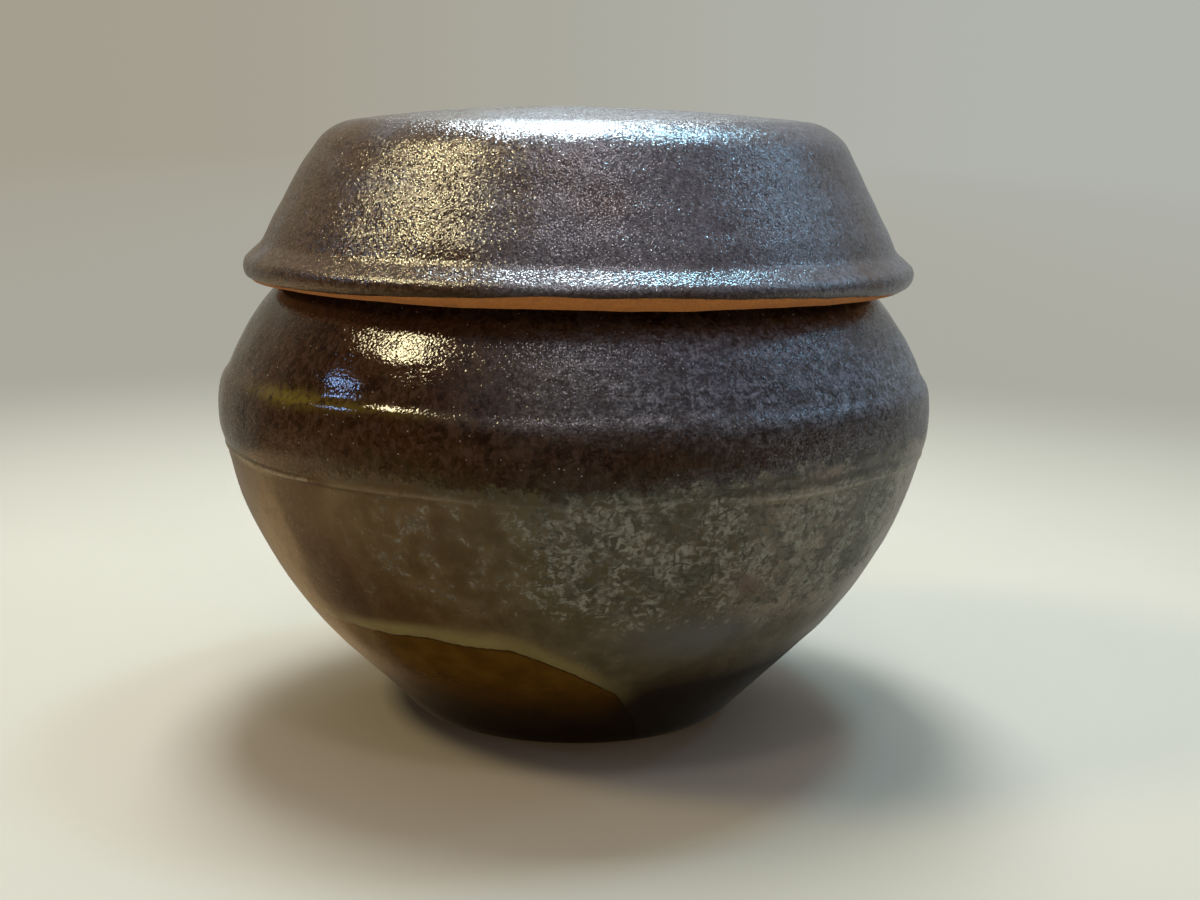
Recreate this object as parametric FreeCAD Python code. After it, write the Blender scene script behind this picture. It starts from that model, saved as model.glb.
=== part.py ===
import FreeCAD, Part
import math
import os

# Lidded earthenware jar, thrown on a wheel: a squat jar and a loose lift-off lid.
# Millimetres, +Z up, origin at the centre of the foot where the jar stands.
# Both pieces are turned shapes, so each is one outline in the XZ plane revolved about Z.

# Foot of the jar
FOOT_DIAMETER = 59.0
FOOT_EDGE_OUT = 1.8
FOOT_EDGE_HEIGHT = 1.5
FOOT_EDGE_BULGE = 0.25
FOOT_RING_WIDTH = 6.0
FOOT_RECESS = 1.4
FLOOR_THICKNESS = 6.0

# Lower wall, which rises from the foot to the ridge; heights are above the foot's edge
FLARE_DIAMETER = 73.8
FLARE_HEIGHT = 5.7
LOWER_DIAMETER = 98.3
LOWER_HEIGHT = 19.1
UPPER_DIAMETER = 120.4
UPPER_HEIGHT = 37.2
RIDGE_DIAMETER = 127.2
LOWER_WALL_HEIGHT = 47.8

# Thin raised line where the lower wall meets the belly band
RIDGE_WIDTH = 1.2
RIDGE_PROUD = 0.45
RIDGE_STEP = 0.35

# Belly band, between the ridge and the soft crease below the shoulder
BELLY_DIAMETER = 130.0
BELLY_RISE = 6.0
BELLY_BAND_HEIGHT = 12.6
CREASE_DIAMETER = 126.8

# Shoulder, which closes in to the neck
SHOULDER_HEIGHT = 21.9
SHOULDER_BULGE = 2.5
NECK_DIAMETER = 90.0

# Neck and its rolled rim
NECK_HEIGHT = 6.5
RIM_HEIGHT = 4.4
RIM_PROUD = 1.7
RIM_ROUNDING = 1.4
NECK_ROUNDING = 0.6
MOUTH_ROUNDING = 1.0

# Thickness of the thrown wall of the jar
WALL = 5.0

# Lid
LID_WALL = 4.8
LID_SIDE_CLEARANCE = 1.9
LID_SHOULDER_GAP = 2.4
SKIRT_REACH = 13.5
CROWN_RISE = 18.6
CROWN_RADIUS = 350.0
CROWN_EDGE_RADIUS = 10.0
LEDGE_INSET = 2.0
CEILING_CORNER_RADIUS = 5.0
LEDGE_ROUNDING = 0.8

# Bead that runs round the bottom of the lid; its nose is one corner before the rounding
BEAD_HEIGHT = 6.5
BEAD_PROUD = 2.5
BEAD_NOSE_HEIGHT = 2.3
BEAD_TUCK = 3.3
BEAD_ROUNDING = 2.3
BEAD_HOLLOW_RADIUS = 4.5
SKIRT_EDGE_ROUNDING = 1.0


def point(radius, height):
    """A point of an outline."""
    return FreeCAD.Vector(radius, 0, height)


def segment(start, end):
    """A straight stretch of an outline."""
    return Part.LineSegment(start, end).toShape()


def smooth(points, **tangents):
    """A smooth curve through the points."""
    curve = Part.BSplineCurve()
    curve.interpolate(points, **tangents)
    return curve.toShape()


def bulged_arc(start, end, bulge):
    """A circle arc that stands out by the bulge, to the right of the way from start to end."""
    chord = end - start
    outward = point(chord.z, -chord.x).normalize()
    return Part.Arc(start, (start + end) * 0.5 + outward * bulge, end)


def rounded(corners):
    """Straight stretches through (point, radius) corners, with each inner corner rounded."""
    edges = []
    here = corners[0][0]
    for (corner, radius), (following, _) in zip(corners[1:-1], corners[2:]):
        back = (here - corner).normalize()
        ahead = (following - corner).normalize()
        half_angle = back.getAngle(ahead) / 2
        setback = radius / math.tan(half_angle)
        start = corner + back * setback
        end = corner + ahead * setback
        inward = (back + ahead).normalize()
        middle = corner + inward * (radius / math.sin(half_angle) - radius)
        edges.append(segment(here, start))
        edges.append(Part.Arc(start, middle, end).toShape())
        here = end
    edges.append(segment(here, corners[-1][0]))
    return edges


def inset(before, here, after, distance):
    """The point at a distance inside the wall; the outline climbs from before to after."""
    along = (after - before).normalize()
    return here + point(-along.z, along.x) * distance


def dome(top, radius, wall_foot, up_wall, edge_radius):
    """A shallow dome about the axis, with its edge rounded into the straight wall below it.

    wall_foot is a point of the wall, and up_wall is the way up it.
    Returns the dome's arcs and the point where the wall begins.
    """
    centre = top - point(0, radius)
    inward = point(-up_wall.z, up_wall.x)

    # The edge's centre is one edge radius inside the wall, and one inside the dome
    to_wall = wall_foot + inward * edge_radius - centre
    climb = to_wall.dot(up_wall)
    rise = math.sqrt(climb ** 2 - to_wall.dot(to_wall) + (radius - edge_radius) ** 2) - climb
    edge_centre = centre + to_wall + up_wall * rise
    to_dome = (edge_centre - centre).normalize()
    to_middle = (to_dome - inward).normalize()
    dome_end = edge_centre + to_dome * edge_radius
    wall_start = edge_centre - inward * edge_radius
    half_way = centre + (to_dome + point(0, 1)).normalize() * radius
    arcs = [
        Part.Arc(top, half_way, dome_end).toShape(),
        Part.Arc(dome_end, edge_centre + to_middle * edge_radius, wall_start).toShape(),
    ]
    return arcs, wall_start


def turned(edges):
    """The solid made by turning a closed outline about the Z axis."""
    outline = Part.Face(Part.Wire(Part.__sortEdges__(edges)))
    return outline.revolve(point(0, 0), point(0, 1), 360)


# Stations of the jar's outline, from the foot to the rim
foot_radius = FOOT_DIAMETER / 2
foot_ring_inner = foot_radius - FOOT_RING_WIDTH
foot_edge = point(foot_radius + FOOT_EDGE_OUT, FOOT_EDGE_HEIGHT)
flare = point(FLARE_DIAMETER / 2, foot_edge.z + FLARE_HEIGHT)
lower = point(LOWER_DIAMETER / 2, foot_edge.z + LOWER_HEIGHT)
upper = point(UPPER_DIAMETER / 2, foot_edge.z + UPPER_HEIGHT)
ridge_foot = point(RIDGE_DIAMETER / 2, foot_edge.z + LOWER_WALL_HEIGHT)
ridge_nose = ridge_foot + point(RIDGE_PROUD, RIDGE_WIDTH / 2)
ridge_top = ridge_foot + point(RIDGE_STEP, RIDGE_WIDTH)
belly = point(BELLY_DIAMETER / 2, ridge_top.z + BELLY_RISE)
crease = point(CREASE_DIAMETER / 2, ridge_top.z + BELLY_BAND_HEIGHT)
neck_root = point(NECK_DIAMETER / 2, crease.z + SHOULDER_HEIGHT)
shoulder = bulged_arc(crease, neck_root, SHOULDER_BULGE)
rim_radius = neck_root.x + RIM_PROUD
mouth_radius = neck_root.x - WALL
mouth_height = neck_root.z + NECK_HEIGHT


def jar():
    """The jar: foot ring, lower wall, ridge, belly band, shoulder, neck and rolled rim."""
    floor_height = FOOT_RECESS + FLOOR_THICKNESS
    floor = [
        segment(point(foot_ring_inner, floor_height), point(0, floor_height)),
        segment(point(0, floor_height), point(0, FOOT_RECESS)),
        segment(point(0, FOOT_RECESS), point(foot_ring_inner, FOOT_RECESS)),
        segment(point(foot_ring_inner, FOOT_RECESS), point(foot_ring_inner, 0)),
        segment(point(foot_ring_inner, 0), point(foot_radius, 0)),
    ]
    outside = [
        bulged_arc(point(foot_radius, 0), foot_edge, FOOT_EDGE_BULGE).toShape(),
        smooth([foot_edge, flare, lower, upper, ridge_foot]),
        Part.Arc(ridge_foot, ridge_nose, ridge_top).toShape(),
        Part.Arc(ridge_top, belly, crease).toShape(),
        shoulder.toShape(),
    ]
    mouth_bottom = point(mouth_radius, neck_root.z - WALL / 2)
    rim_bottom = mouth_height - RIM_HEIGHT
    neck = rounded([
        (neck_root, 0),
        (point(neck_root.x, rim_bottom), NECK_ROUNDING),
        (point(rim_radius, rim_bottom + RIM_PROUD), RIM_ROUNDING),
        (point(rim_radius, mouth_height), RIM_ROUNDING),
        (point(mouth_radius, mouth_height), MOUTH_ROUNDING),
        (mouth_bottom, 0),
    ])
    shoulder_middle = shoulder.value((shoulder.FirstParameter + shoulder.LastParameter) / 2)
    inside = smooth([
        mouth_bottom,
        inset(crease, shoulder_middle, neck_root, WALL),
        inset(belly, crease, shoulder_middle, WALL),
        inset(upper, ridge_foot, belly, WALL),
        inset(lower, upper, ridge_foot, WALL),
        inset(flare, lower, upper, WALL),
        inset(foot_edge, flare, lower, WALL),
        point(foot_ring_inner, floor_height),
    ], FinalTangent=point(-1, 0))
    return turned(floor + outside + neck + [inside])


def lid():
    """The lid: an upturned bowl whose inner ledge rests on the jar's rim."""
    cavity_radius = mouth_radius + LEDGE_INSET
    ledge_inner = point(cavity_radius, mouth_height)
    ledge_outer = point(rim_radius + LID_SIDE_CLEARANCE, mouth_height)

    # The skirt comes down over the jar's shoulder, and ends a gap above it
    below_skirt = shoulder.value(shoulder.parameterAtDistance(-SKIRT_REACH, shoulder.LastParameter))
    skirt_inner = below_skirt + point(0, LID_SHOULDER_GAP)
    up_side = (ledge_outer - skirt_inner).normalize()
    side_at_seat = ledge_outer + point(LID_WALL / up_side.z, 0)
    bottom = skirt_inner.z

    def side_radius(height):
        return side_at_seat.x + (height - mouth_height) * up_side.x / up_side.z

    nose_height = bottom + BEAD_NOSE_HEIGHT
    nose_radius = side_radius(nose_height) + BEAD_PROUD

    crown_top = point(0, mouth_height + CROWN_RISE)
    ceiling_top = crown_top - point(0, LID_WALL)
    crown, side_top = dome(crown_top, CROWN_RADIUS, side_at_seat, up_side, CROWN_EDGE_RADIUS)
    ceiling, cavity_top = dome(
        ceiling_top, CROWN_RADIUS - LID_WALL, ledge_inner, point(0, 1), CEILING_CORNER_RADIUS)
    below = rounded([
        (side_top, 0),
        (point(side_radius(bottom + BEAD_HEIGHT), bottom + BEAD_HEIGHT), BEAD_HOLLOW_RADIUS),
        (point(nose_radius, nose_height), BEAD_ROUNDING),
        (point(nose_radius - BEAD_TUCK, bottom), SKIRT_EDGE_ROUNDING),
        (skirt_inner, SKIRT_EDGE_ROUNDING),
        (ledge_outer, LEDGE_ROUNDING),
        (ledge_inner, LEDGE_ROUNDING),
        (cavity_top, 0),
    ])
    return turned(crown + below + ceiling + [segment(ceiling_top, crown_top)])


def main():
    os.makedirs("parts", exist_ok=True)
    for name, shape in {"jar": jar(), "lid": lid()}.items():
        shape.exportStep(f"parts/{name}.step")
        box = shape.optimalBoundingBox()
        print(f"{name}: {box.XLength:.1f} mm across, {box.ZMin:.1f} to {box.ZMax:.1f} mm high, "
              f"volume {shape.Volume / 1000:.1f} cm3, valid {shape.isValid()}")


main()
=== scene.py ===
import math

import bmesh
import bpy
import numpy as np
from mathutils import Matrix, Vector


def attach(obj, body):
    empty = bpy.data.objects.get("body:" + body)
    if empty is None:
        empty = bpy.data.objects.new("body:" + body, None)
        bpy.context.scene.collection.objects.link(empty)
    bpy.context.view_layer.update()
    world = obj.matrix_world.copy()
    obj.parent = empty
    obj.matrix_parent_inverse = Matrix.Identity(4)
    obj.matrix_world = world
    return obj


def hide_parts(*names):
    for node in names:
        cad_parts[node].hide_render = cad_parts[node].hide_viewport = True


# Lidded earthenware jar. Lengths are millimetres until a mesh is made, and metres in Blender.
# Azimuth is in degrees about the jar's axis: 0 faces the camera (-Y), and it grows to the right (+X).
MM = 0.001

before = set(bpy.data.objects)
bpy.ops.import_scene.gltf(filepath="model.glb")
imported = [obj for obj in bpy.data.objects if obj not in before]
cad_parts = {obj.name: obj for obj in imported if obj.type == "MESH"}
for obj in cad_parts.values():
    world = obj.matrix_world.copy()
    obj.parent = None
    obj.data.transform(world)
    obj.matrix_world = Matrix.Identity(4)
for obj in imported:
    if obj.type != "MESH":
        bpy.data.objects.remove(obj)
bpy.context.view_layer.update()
scene = bpy.context.scene
scene.view_settings.view_transform = "Standard"

# Points of a mesh: how many round the axis, and how far apart along its outline
COLUMNS = 288
WALL_STEP = 0.62
SHOULDER_STEP = 0.45
ROUNDING_STEP = 0.22
RIDGE_STEP = 0.15
INSIDE_STEP = 2.2


# Outlines, as arrays of (radius, height)

def xy(*points):
    return np.array(points, float)


def unit(vector):
    return vector / np.linalg.norm(vector)


def arc(start, through, end, step):
    """Points of the circle arc from start to end, about a step apart."""
    a, b, c = (np.array(p, float) for p in (start, through, end))
    ab, ac = b - a, c - a
    cross = 2 * (ab[0] * ac[1] - ab[1] * ac[0])
    square_b, square_c = ab @ ab, ac @ ac
    centre = a + np.array([ac[1] * square_b - ab[1] * square_c, ab[0] * square_c - ac[0] * square_b]) / cross
    radius = np.linalg.norm(a - centre)
    first, last = (math.atan2(*(p - centre)[::-1]) for p in (a, c))
    turn = (last - first) % (2 * math.pi)
    if cross < 0:
        turn -= 2 * math.pi
    count = max(2, math.ceil(radius * abs(turn) / step))
    angles = first + turn * np.linspace(0, 1, count + 1)
    return centre + radius * np.stack([np.cos(angles), np.sin(angles)], -1)


def bulged(start, end, bulge, step):
    """The arc that stands out by the bulge, to the right of the way from start to end."""
    a, b = np.array(start, float), np.array(end, float)
    chord = unit(b - a)
    outward = np.array([chord[1], -chord[0]])
    return arc(a, (a + b) / 2 + outward * bulge, b, step)


def end_slope(points, stations):
    """The slope at the first point of the cubic through the first four points."""
    slope = np.zeros(2)
    for i in range(4):
        others = [j for j in range(4) if j != i]
        below = np.prod([stations[i] - stations[j] for j in others])
        above = sum(np.prod([stations[0] - stations[j] for j in others if j != k]) for k in others)
        slope += points[i] * above / below
    return slope


def spline(points, step, last_slope=None):
    """A smooth curve through the points, about a step apart."""
    p = np.array(points, float)
    gaps = np.linalg.norm(np.diff(p, axis=0), axis=1)
    stations = np.concatenate([[0], np.cumsum(gaps)])
    n = len(p)
    if last_slope is None:
        last_slope = -end_slope(p[::-1], stations[-1] - stations[::-1])
    rows = np.zeros((n, n))
    known = np.zeros((n, 2))
    rows[0, 0] = rows[-1, -1] = 1
    known[0] = end_slope(p, stations)
    known[-1] = last_slope
    for i in range(1, n - 1):
        before, after = 1 / gaps[i - 1], 1 / gaps[i]
        rows[i, i - 1:i + 2] = before, 2 * (before + after), after
        known[i] = 3 * ((p[i] - p[i - 1]) * before ** 2 + (p[i + 1] - p[i]) * after ** 2)
    slopes = np.linalg.solve(rows, known)
    parts = [p[:1]]
    for i, gap in enumerate(gaps):
        count = max(2, math.ceil(gap / step))
        t = np.linspace(0, 1, count + 1)[1:, None]
        parts.append(
            (1 + 2 * t) * (1 - t) ** 2 * p[i] + t * (1 - t) ** 2 * gap * slopes[i]
            + t ** 2 * (3 - 2 * t) * p[i + 1] + t ** 2 * (t - 1) * gap * slopes[i + 1])
    return np.concatenate(parts)


def line(start, end, step):
    a, b = np.array(start, float), np.array(end, float)
    count = max(1, math.ceil(np.linalg.norm(b - a) / step))
    return a + (b - a) * np.linspace(0, 1, count + 1)[:, None]


def rounded(corners, step):
    """Straight stretches through (radius, height, rounding) corners, each inner corner rounded."""
    parts = []
    here = np.array(corners[0][:2], float)
    for (r, z, rounding), following in zip(corners[1:-1], corners[2:]):
        corner = np.array([r, z], float)
        back = unit(here - corner)
        ahead = unit(np.array(following[:2], float) - corner)
        half = math.acos(max(-1, min(1, back @ ahead))) / 2
        setback = rounding / math.tan(half)
        start, end = corner + back * setback, corner + ahead * setback
        middle = corner + unit(back + ahead) * (rounding / math.sin(half) - rounding)
        parts += [line(here, start, step), arc(start, middle, end, ROUNDING_STEP)]
        here = end
    parts.append(line(here, corners[-1][:2], step))
    return joined(parts)


def joined(parts):
    """One outline from stretches that meet end to end."""
    points = np.concatenate(parts)
    moved = np.linalg.norm(np.diff(points, axis=0), axis=1) > 1e-6
    return points[np.concatenate([[True], moved])]


def inset(before, here, after, distance):
    """The point at a distance inside the wall; the outline climbs from before to after."""
    along = unit(np.array(after, float) - np.array(before, float))
    return np.array(here, float) + np.array([-along[1], along[0]]) * distance


# Unevenness and soft masks

# Waves in an unevenness, and the usual peak of their sum in standard deviations
WAVES = 16
PEAK = 1.6


def swell(points, wavelength, seed):
    """Smooth seamless unevenness of about -1 to 1, made of waves in random directions."""
    rng = np.random.default_rng(seed)
    ways = rng.normal(size=(WAVES, 3))
    ways *= 2 * math.pi / wavelength / np.linalg.norm(ways, axis=1)[:, None]
    phases = rng.uniform(0, 2 * math.pi, WAVES)
    return np.cos(points @ ways.T + phases).sum(-1) * math.sqrt(2 / WAVES) / PEAK


def smooth(value, low, high):
    t = np.clip((value - low) / (high - low), 0, 1)
    return t * t * (3 - 2 * t)


def window(value, low, high, soft):
    """1 between low and high, and falling to 0 over the soft width outside them."""
    return smooth(value, low - soft, low) * (1 - smooth(value, high, high + soft))


def apart(azimuth, centre):
    return (azimuth - centre + 180) % 360 - 180


def blob(azimuth, height, centre, size):
    """A soft round mask about a centre (azimuth, height)."""
    return np.exp(-(apart(azimuth, centre[0]) / size[0]) ** 2 - ((height - centre[1]) / size[1]) ** 2)


# Turned meshes

class Turned:
    """A closed outline turned about Z, with a grid of points that can be shifted along its normals."""

    def __init__(self, outline):
        self.rows = outline
        along = np.gradient(outline, axis=0)
        along /= np.linalg.norm(along, axis=1)[:, None]
        out = np.stack([along[:, 1], -along[:, 0]], -1)
        gaps = np.linalg.norm(np.diff(outline, axis=0), axis=1)
        self.way = np.concatenate([[0], np.cumsum(gaps)])
        turn = np.linspace(-180, 180, COLUMNS, endpoint=False)
        inner = slice(1, len(outline) - 1)
        self.azimuth, self.station = np.meshgrid(turn, self.way[inner])
        self.radius = np.repeat(outline[inner, :1], COLUMNS, 1)
        self.height = np.repeat(outline[inner, 1:], COLUMNS, 1)
        self.normal = np.repeat(out[inner, None], COLUMNS, 1)
        self.points = self.spread(self.radius, self.height)

    def spread(self, radius, height):
        a = np.radians(self.azimuth)
        return np.stack([radius * np.sin(a), -radius * np.cos(a), height], -1)

    def wavy(self, wavelength, seed):
        """Unevenness over the grid; each seed gives its own."""
        return swell(self.points, wavelength, seed)

    def mesh(self, name, shift, rise):
        """The mesh, with its points shifted along the normals and raised."""
        radius = self.radius + self.normal[..., 0] * shift
        height = self.height + self.normal[..., 1] * shift + rise
        grid = self.spread(radius, height).reshape(-1, 3)
        ends = [[0, 0, self.rows[0, 1]], [0, 0, self.rows[-1, 1]]]
        points = np.concatenate([grid, ends]) * MM

        # Four-sided faces between the rows, and a fan of triangles at each end
        n, m = self.azimuth.shape
        i, j = np.meshgrid(np.arange(n - 1), np.arange(m), indexing="ij")
        k = (j + 1) % m
        quads = np.stack([i * m + j, i * m + k, (i + 1) * m + k, (i + 1) * m + j], -1)
        turn = np.arange(m)
        after = (turn + 1) % m
        low = np.stack([np.full(m, n * m), after, turn], -1)
        high = np.stack([np.full(m, n * m + 1), (n - 1) * m + turn, (n - 1) * m + after], -1)
        corners = np.concatenate([quads.ravel(), low.ravel(), high.ravel()])
        quad_count = quads.size // 4
        starts = np.concatenate([np.arange(quad_count) * 4, quad_count * 4 + np.arange(2 * m) * 3])

        mesh = bpy.data.meshes.new(name)
        mesh.vertices.add(len(points))
        mesh.vertices.foreach_set("co", points.astype(np.float32).ravel())
        mesh.loops.add(len(corners))
        mesh.loops.foreach_set("vertex_index", corners.astype(np.int32))
        mesh.polygons.add(len(starts))
        mesh.polygons.foreach_set("loop_start", starts.astype(np.int32))
        mesh.update(calc_edges=True)
        mesh.polygons.foreach_set("use_smooth", np.ones(len(starts), bool))
        mesh.validate()
        return mesh

    def paint(self, mesh, masks):
        """Keeps masks of the surface on the mesh, for its material."""
        for name, values in masks.items():
            values = np.broadcast_to(values, self.azimuth.shape)
            whole = np.concatenate([values.ravel(), [values[0].mean(), values[-1].mean()]])
            mesh.attributes.new(name, "FLOAT", "POINT").data.foreach_set("value", whole.astype(np.float32))


# Materials

class Nodes:
    """A node tree, built up call by call."""

    def __init__(self, tree):
        self.tree = tree

    def node(self, kind, inputs=None, **settings):
        made = self.tree.nodes.new(kind)
        for key, value in settings.items():
            setattr(made, key, value)
        for key, value in (inputs or {}).items():
            self.put(made.inputs[key], value)
        return made

    def put(self, socket, value):
        """Links a socket to another, or sets its value; a colour may leave out its alpha."""
        if isinstance(value, bpy.types.NodeSocket):
            self.tree.links.new(value, socket)
        elif socket.type == "RGBA":
            socket.default_value = (*value[:3], 1)
        else:
            socket.default_value = value

    def math(self, operation, *inputs):
        return self.node("ShaderNodeMath", dict(enumerate(inputs)), operation=operation).outputs[0]

    def add(self, first, *others):
        for other in others:
            first = self.math("ADD", first, other)
        return first

    def times(self, first, *others):
        for other in others:
            first = self.math("MULTIPLY", first, other)
        return first

    def vector(self, operation, inputs):
        return self.node("ShaderNodeVectorMath", inputs, operation=operation).outputs[0]

    def length(self, vector):
        return self.node("ShaderNodeVectorMath", {0: vector}, operation="LENGTH").outputs["Value"]

    def smooth(self, value, low, high, start=0.0, end=1.0):
        return self.node("ShaderNodeMapRange", {
            "Value": value, "From Min": low, "From Max": high, "To Min": start, "To Max": end,
        }, interpolation_type="SMOOTHSTEP").outputs["Result"]

    def mix(self, share, a, b):
        """From colour a to colour b, as the share goes from 0 to 1."""
        return self.node("ShaderNodeMix", {0: share, 6: a, 7: b}, data_type="RGBA").outputs[2]

    def blend(self, share, a, b):
        """From number a to number b, as the share goes from 0 to 1."""
        return self.node("ShaderNodeMix", {0: share, 2: a, 3: b}, data_type="FLOAT").outputs[0]

    def tones(self, value, low, high, a, b):
        """From colour a to colour b, as the value goes from low to high."""
        return self.mix(self.smooth(value, low, high), a, b)

    def flecks(self, base, value, low, high, share, colour):
        """The base, with up to the share of a colour where the value is high."""
        return self.mix(self.smooth(value, low, high, 0.0, share), base, colour)


class Look(Nodes):
    """A node material."""

    def __init__(self, name):
        self.material = bpy.data.materials.new(name)
        self.material.use_nodes = True
        super().__init__(self.material.node_tree)
        self.tree.nodes.clear()
        place = self.node("ShaderNodeTexCoord").outputs["Object"]
        self.place = self.vector("SCALE", {0: place, "Scale": 1 / MM})

    def mask(self, name):
        return self.node("ShaderNodeAttribute", attribute_name=name).outputs["Fac"]

    def noise(self, size, detail=2.0, roughness=0.5, distortion=0.0, squeeze=(1, 1, 1)):
        """Noise with features of about the size, in millimetres, squeezed along X, Y and Z."""
        place = self.place if squeeze == (1, 1, 1) else self.vector("MULTIPLY", {0: self.place, 1: squeeze})
        return self.node("ShaderNodeTexNoise", {
            "Vector": place, "Scale": 1 / size, "Detail": detail,
            "Roughness": roughness, "Distortion": distortion,
        }).outputs["Fac"]

    def swing(self, noise, span):
        """The noise about 0 in place of 0.5, stretched to the span."""
        return self.times(self.add(noise, -0.5), span)

    def grains(self, size):
        """Cells of about the size, in millimetres."""
        return self.node("ShaderNodeTexVoronoi", {"Vector": self.place, "Scale": 1 / size}).outputs

    def dots(self, spacing, core, edge, share):
        """Scattered dots, full out to the core and gone from the edge on, in spacings."""
        return self.smooth(self.grains(spacing)["Distance"], core, edge, share, 0.0)

    def caps(self, size, height):
        """Close convex bumps of about the size, like orange peel, as heights in millimetres."""
        gap = self.grains(size)["Distance"]
        return self.times(gap, gap, -height)

    def bump(self, height):
        """A normal from heights in millimetres."""
        made = self.node("ShaderNodeBump", {"Height": height, "Distance": MM, "Strength": 1.0})
        return made.outputs["Normal"]

    def facets(self, normal, size, lean):
        """The normal, thrown about by small flat grains of about the size."""
        way = self.vector("SUBTRACT", {0: self.grains(size)["Color"], 1: (0.5, 0.5, 0.5)})
        way = self.vector("SCALE", {0: way, "Scale": self.times(self.length(way), lean)})
        return self.vector("NORMALIZE", {0: self.vector("ADD", {0: normal, 1: way})})

    def shader(self, colour, roughness, normal, **constant):
        return self.node("ShaderNodeBsdfPrincipled", {
            "Base Color": colour, "Roughness": roughness, "Normal": normal, **constant,
        }).outputs[0]

    def glow(self, colour):
        return self.node("ShaderNodeEmission", {"Color": colour}).outputs[0]

    def finish(self, surface):
        self.node("ShaderNodeOutputMaterial", {"Surface": surface})
        return self.material


def placed(name, data):
    """A new object in the scene."""
    made = bpy.data.objects.new(name, data)
    scene.collection.objects.link(made)
    return made


def stand(name, mesh, material, body, node):
    """Puts a mesh in the scene in place of its CAD node."""
    made = placed(name, mesh)
    mesh.materials.append(material)
    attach(made, body)
    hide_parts(node)


# Jar: stations of the outline, as (radius, height), and its other sizes
WALL = 5.0
FOOT_RING = (23.5, 29.5)
FOOT_RECESS = 1.4
FLOOR_TOP = 7.4
FOOT_EDGE = (31.3, 1.5)
FLARE = (36.9, 7.2)
LOWER = (49.15, 20.6)
UPPER = (60.2, 38.7)
RIDGE_FOOT = (63.6, 49.3)
RIDGE_NOSE = (64.05, 49.9)
RIDGE_TOP = (63.95, 50.5)
BELLY = (65.0, 56.5)
CREASE = (63.4, 63.1)
NECK_ROOT = (45.0, 85.0)
SHOULDER_BULGE = 2.5
MOUTH_RADIUS = 40.0
MOUTH_HEIGHT = 91.5
RIM_RADIUS = 46.7
RIM_PROUD = RIM_RADIUS - NECK_ROOT[0]
RIM_BOTTOM = 87.1
RIM_ROUNDING = 1.4
NECK_ROUNDING = 0.6
MOUTH_ROUNDING = 1.0
FOOT_INNER_ROUNDING = 0.5
FOOT_OUTER_ROUNDING = 0.35
FOOT_STEP = 1.5
NECK_STEP = 0.8


def lower_wall():
    return spline([FOOT_EDGE, FLARE, LOWER, UPPER, RIDGE_FOOT], WALL_STEP)


def jar_outline():
    """The jar's closed outline, from the middle of its underside to the middle of its floor."""
    foot = rounded([
        (0, FOOT_RECESS, 0),
        (FOOT_RING[0], FOOT_RECESS, FOOT_INNER_ROUNDING),
        (FOOT_RING[0], 0, FOOT_INNER_ROUNDING),
        (FOOT_RING[1], 0, FOOT_OUTER_ROUNDING),
        (*FOOT_EDGE, 0),
    ], FOOT_STEP)
    ridge = arc(RIDGE_FOOT, RIDGE_NOSE, RIDGE_TOP, RIDGE_STEP)
    belly = arc(RIDGE_TOP, BELLY, CREASE, SHOULDER_STEP)
    shoulder = bulged(CREASE, NECK_ROOT, SHOULDER_BULGE, SHOULDER_STEP)
    neck = rounded([
        (*NECK_ROOT, 0),
        (NECK_ROOT[0], RIM_BOTTOM, NECK_ROUNDING),
        (RIM_RADIUS, RIM_BOTTOM + RIM_PROUD, RIM_ROUNDING),
        (RIM_RADIUS, MOUTH_HEIGHT, RIM_ROUNDING),
        (MOUTH_RADIUS, MOUTH_HEIGHT, MOUTH_ROUNDING),
        (MOUTH_RADIUS, NECK_ROOT[1] - WALL / 2, 0),
    ], NECK_STEP)
    middle = shoulder[len(shoulder) // 2]
    inside = spline([
        neck[-1],
        inset(CREASE, middle, NECK_ROOT, WALL),
        inset(BELLY, CREASE, middle, WALL),
        inset(UPPER, RIDGE_FOOT, BELLY, WALL),
        inset(LOWER, UPPER, RIDGE_FOOT, WALL),
        inset(FLARE, LOWER, UPPER, WALL),
        inset(FOOT_EDGE, FLARE, LOWER, WALL),
        (FOOT_RING[0], FLOOR_TOP),
    ], INSIDE_STEP, last_slope=(-1, 0))
    floor = line((FOOT_RING[0], FLOOR_TOP), (0, FLOOR_TOP), INSIDE_STEP)
    return joined([foot, lower_wall(), ridge, belly, shoulder, neck, inside, floor])


# Edge where two glazes overlap on the lower wall: (azimuth, height, half width of its band)
GLAZE_LINE = xy(
    (-128, -1.0, 2.0), (-122, 4.0, 2.0), (-112, 11.0, 1.8), (-98, 17.5, 2.0), (-82, 21.5, 1.6),
    (-64, 23.4, 1.3), (-44, 24.1, 1.4), (-33, 24.9, 2.1), (-26.5, 25.2, 1.9), (-20, 24.6, 2.5),
    (-13.8, 24.5, 2.4), (-9.3, 23.9, 2.3), (-4.4, 21.6, 1.9), (0.9, 19.2, 1.8), (6.8, 16.2, 1.8),
    (11.6, 14.1, 1.9), (15.3, 10.9, 2.1), (19.8, 6.6, 1.9), (24.3, 1.9, 1.8), (27, -1.0, 1.8))

# Brown streak above it, as (azimuth, height), and its half width
AMBER_STREAK = xy((-44, 52), (-43, 50.6), (-42, 44.7), (-38.5, 39.6), (-36, 33.5), (-33, 29.4), (-29, 27.5))
STREAK_WIDTH = 4.0

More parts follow.
